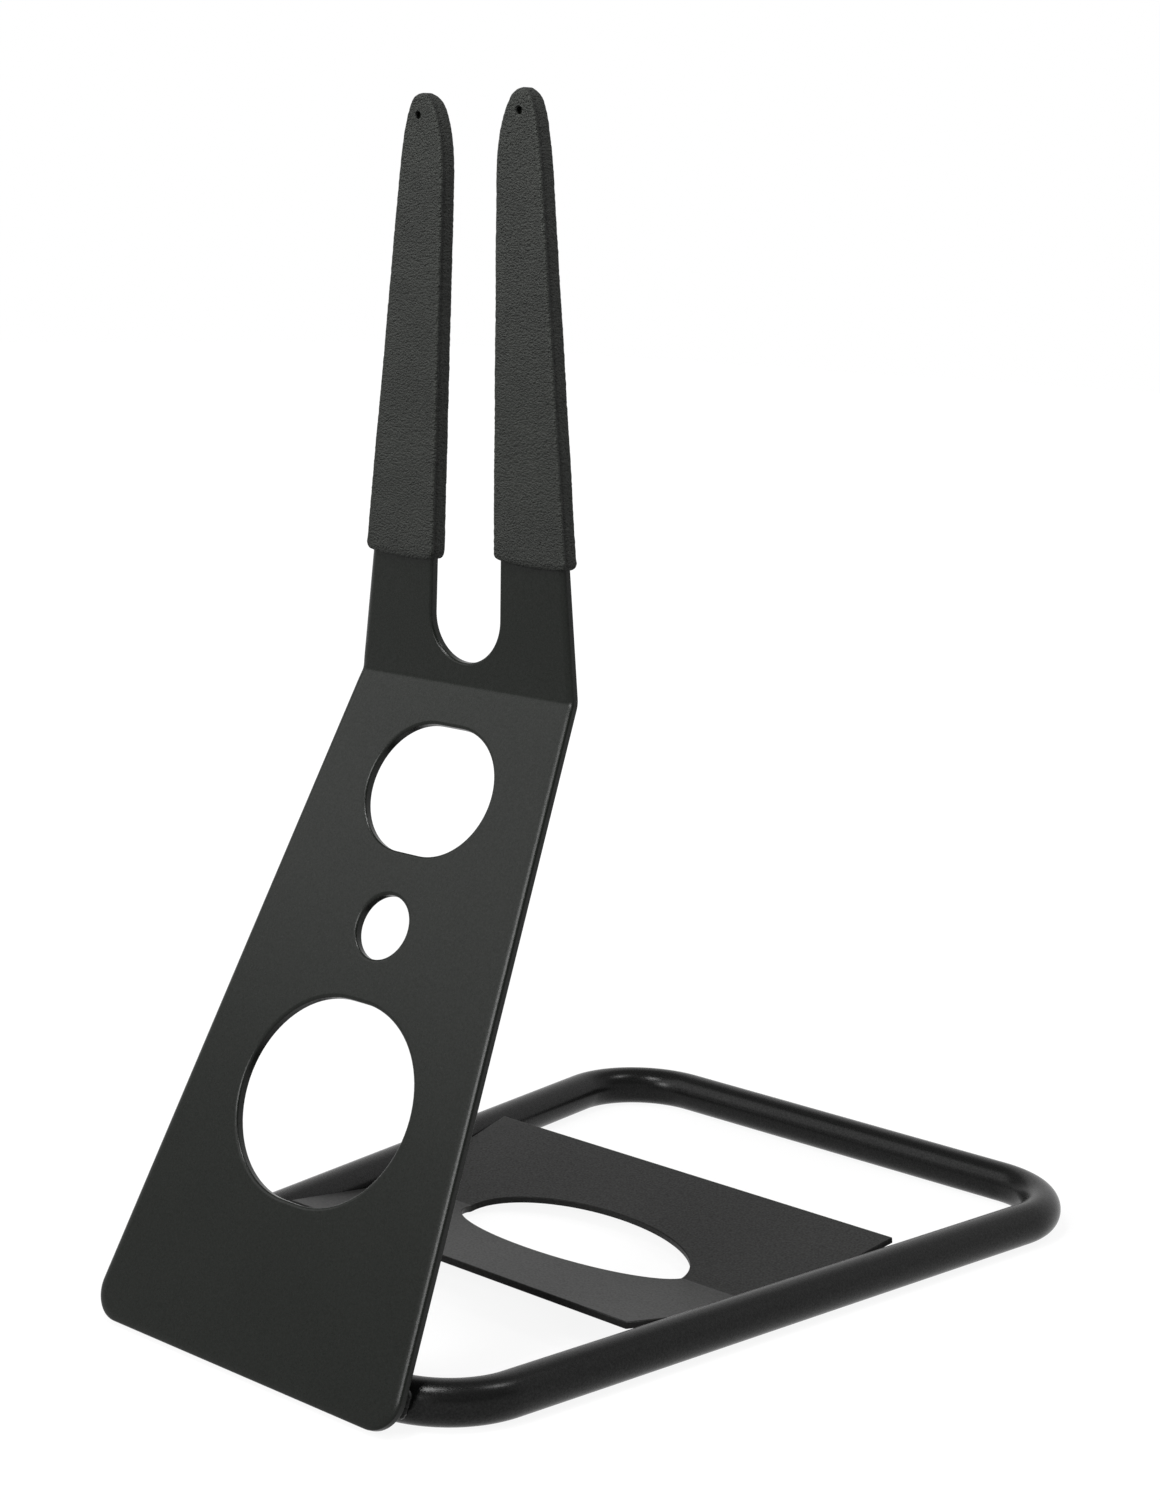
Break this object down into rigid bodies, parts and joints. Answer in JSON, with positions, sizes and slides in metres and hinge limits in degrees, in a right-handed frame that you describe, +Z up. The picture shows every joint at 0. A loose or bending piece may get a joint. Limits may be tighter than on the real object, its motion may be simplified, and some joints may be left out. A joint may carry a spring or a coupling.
{
  "type": "floor bike rack",
  "caption": "Floor stand that holds a parked bicycle: a forked, bent upright with soft prong sleeves on a round-tube base loop with a folded tyre trough.",
  "frame": {"origin": "on the floor, under the middle of the whole rack, front to back and left to right", "axes": "+Z up; +X to the right seen from the front of the upright; the upright's face looks to -Y and the base loop runs back to +Y"},
  "size_m": [0.278, 0.4052, 0.4864],
  "materials": {
    "black_paint": "satin black powder coat on sheet steel",
    "tube_paint": "satin black powder coat on tube, slightly glossier",
    "sleeve_rubber": "soft black foam rubber with a fine pebbled grain"
  },
  "bodies": {
    "root": {"base_loop": "tube_paint", "upright_plate": "black_paint", "sleeve_left": "sleeve_rubber", "sleeve_right": "sleeve_rubber", "trough_plate": "black_paint", "seam_weld": "black_paint", "upright_stitch_left": "black_paint", "upright_stitch_right": "black_paint", "upright_edge_weld_left": "black_paint", "upright_edge_weld_right": "black_paint", "trough_weld_front_left": "black_paint", "trough_weld_front_right": "black_paint", "trough_weld_back_left": "black_paint", "trough_weld_back_right": "black_paint"}
  },
  "joints": []
}
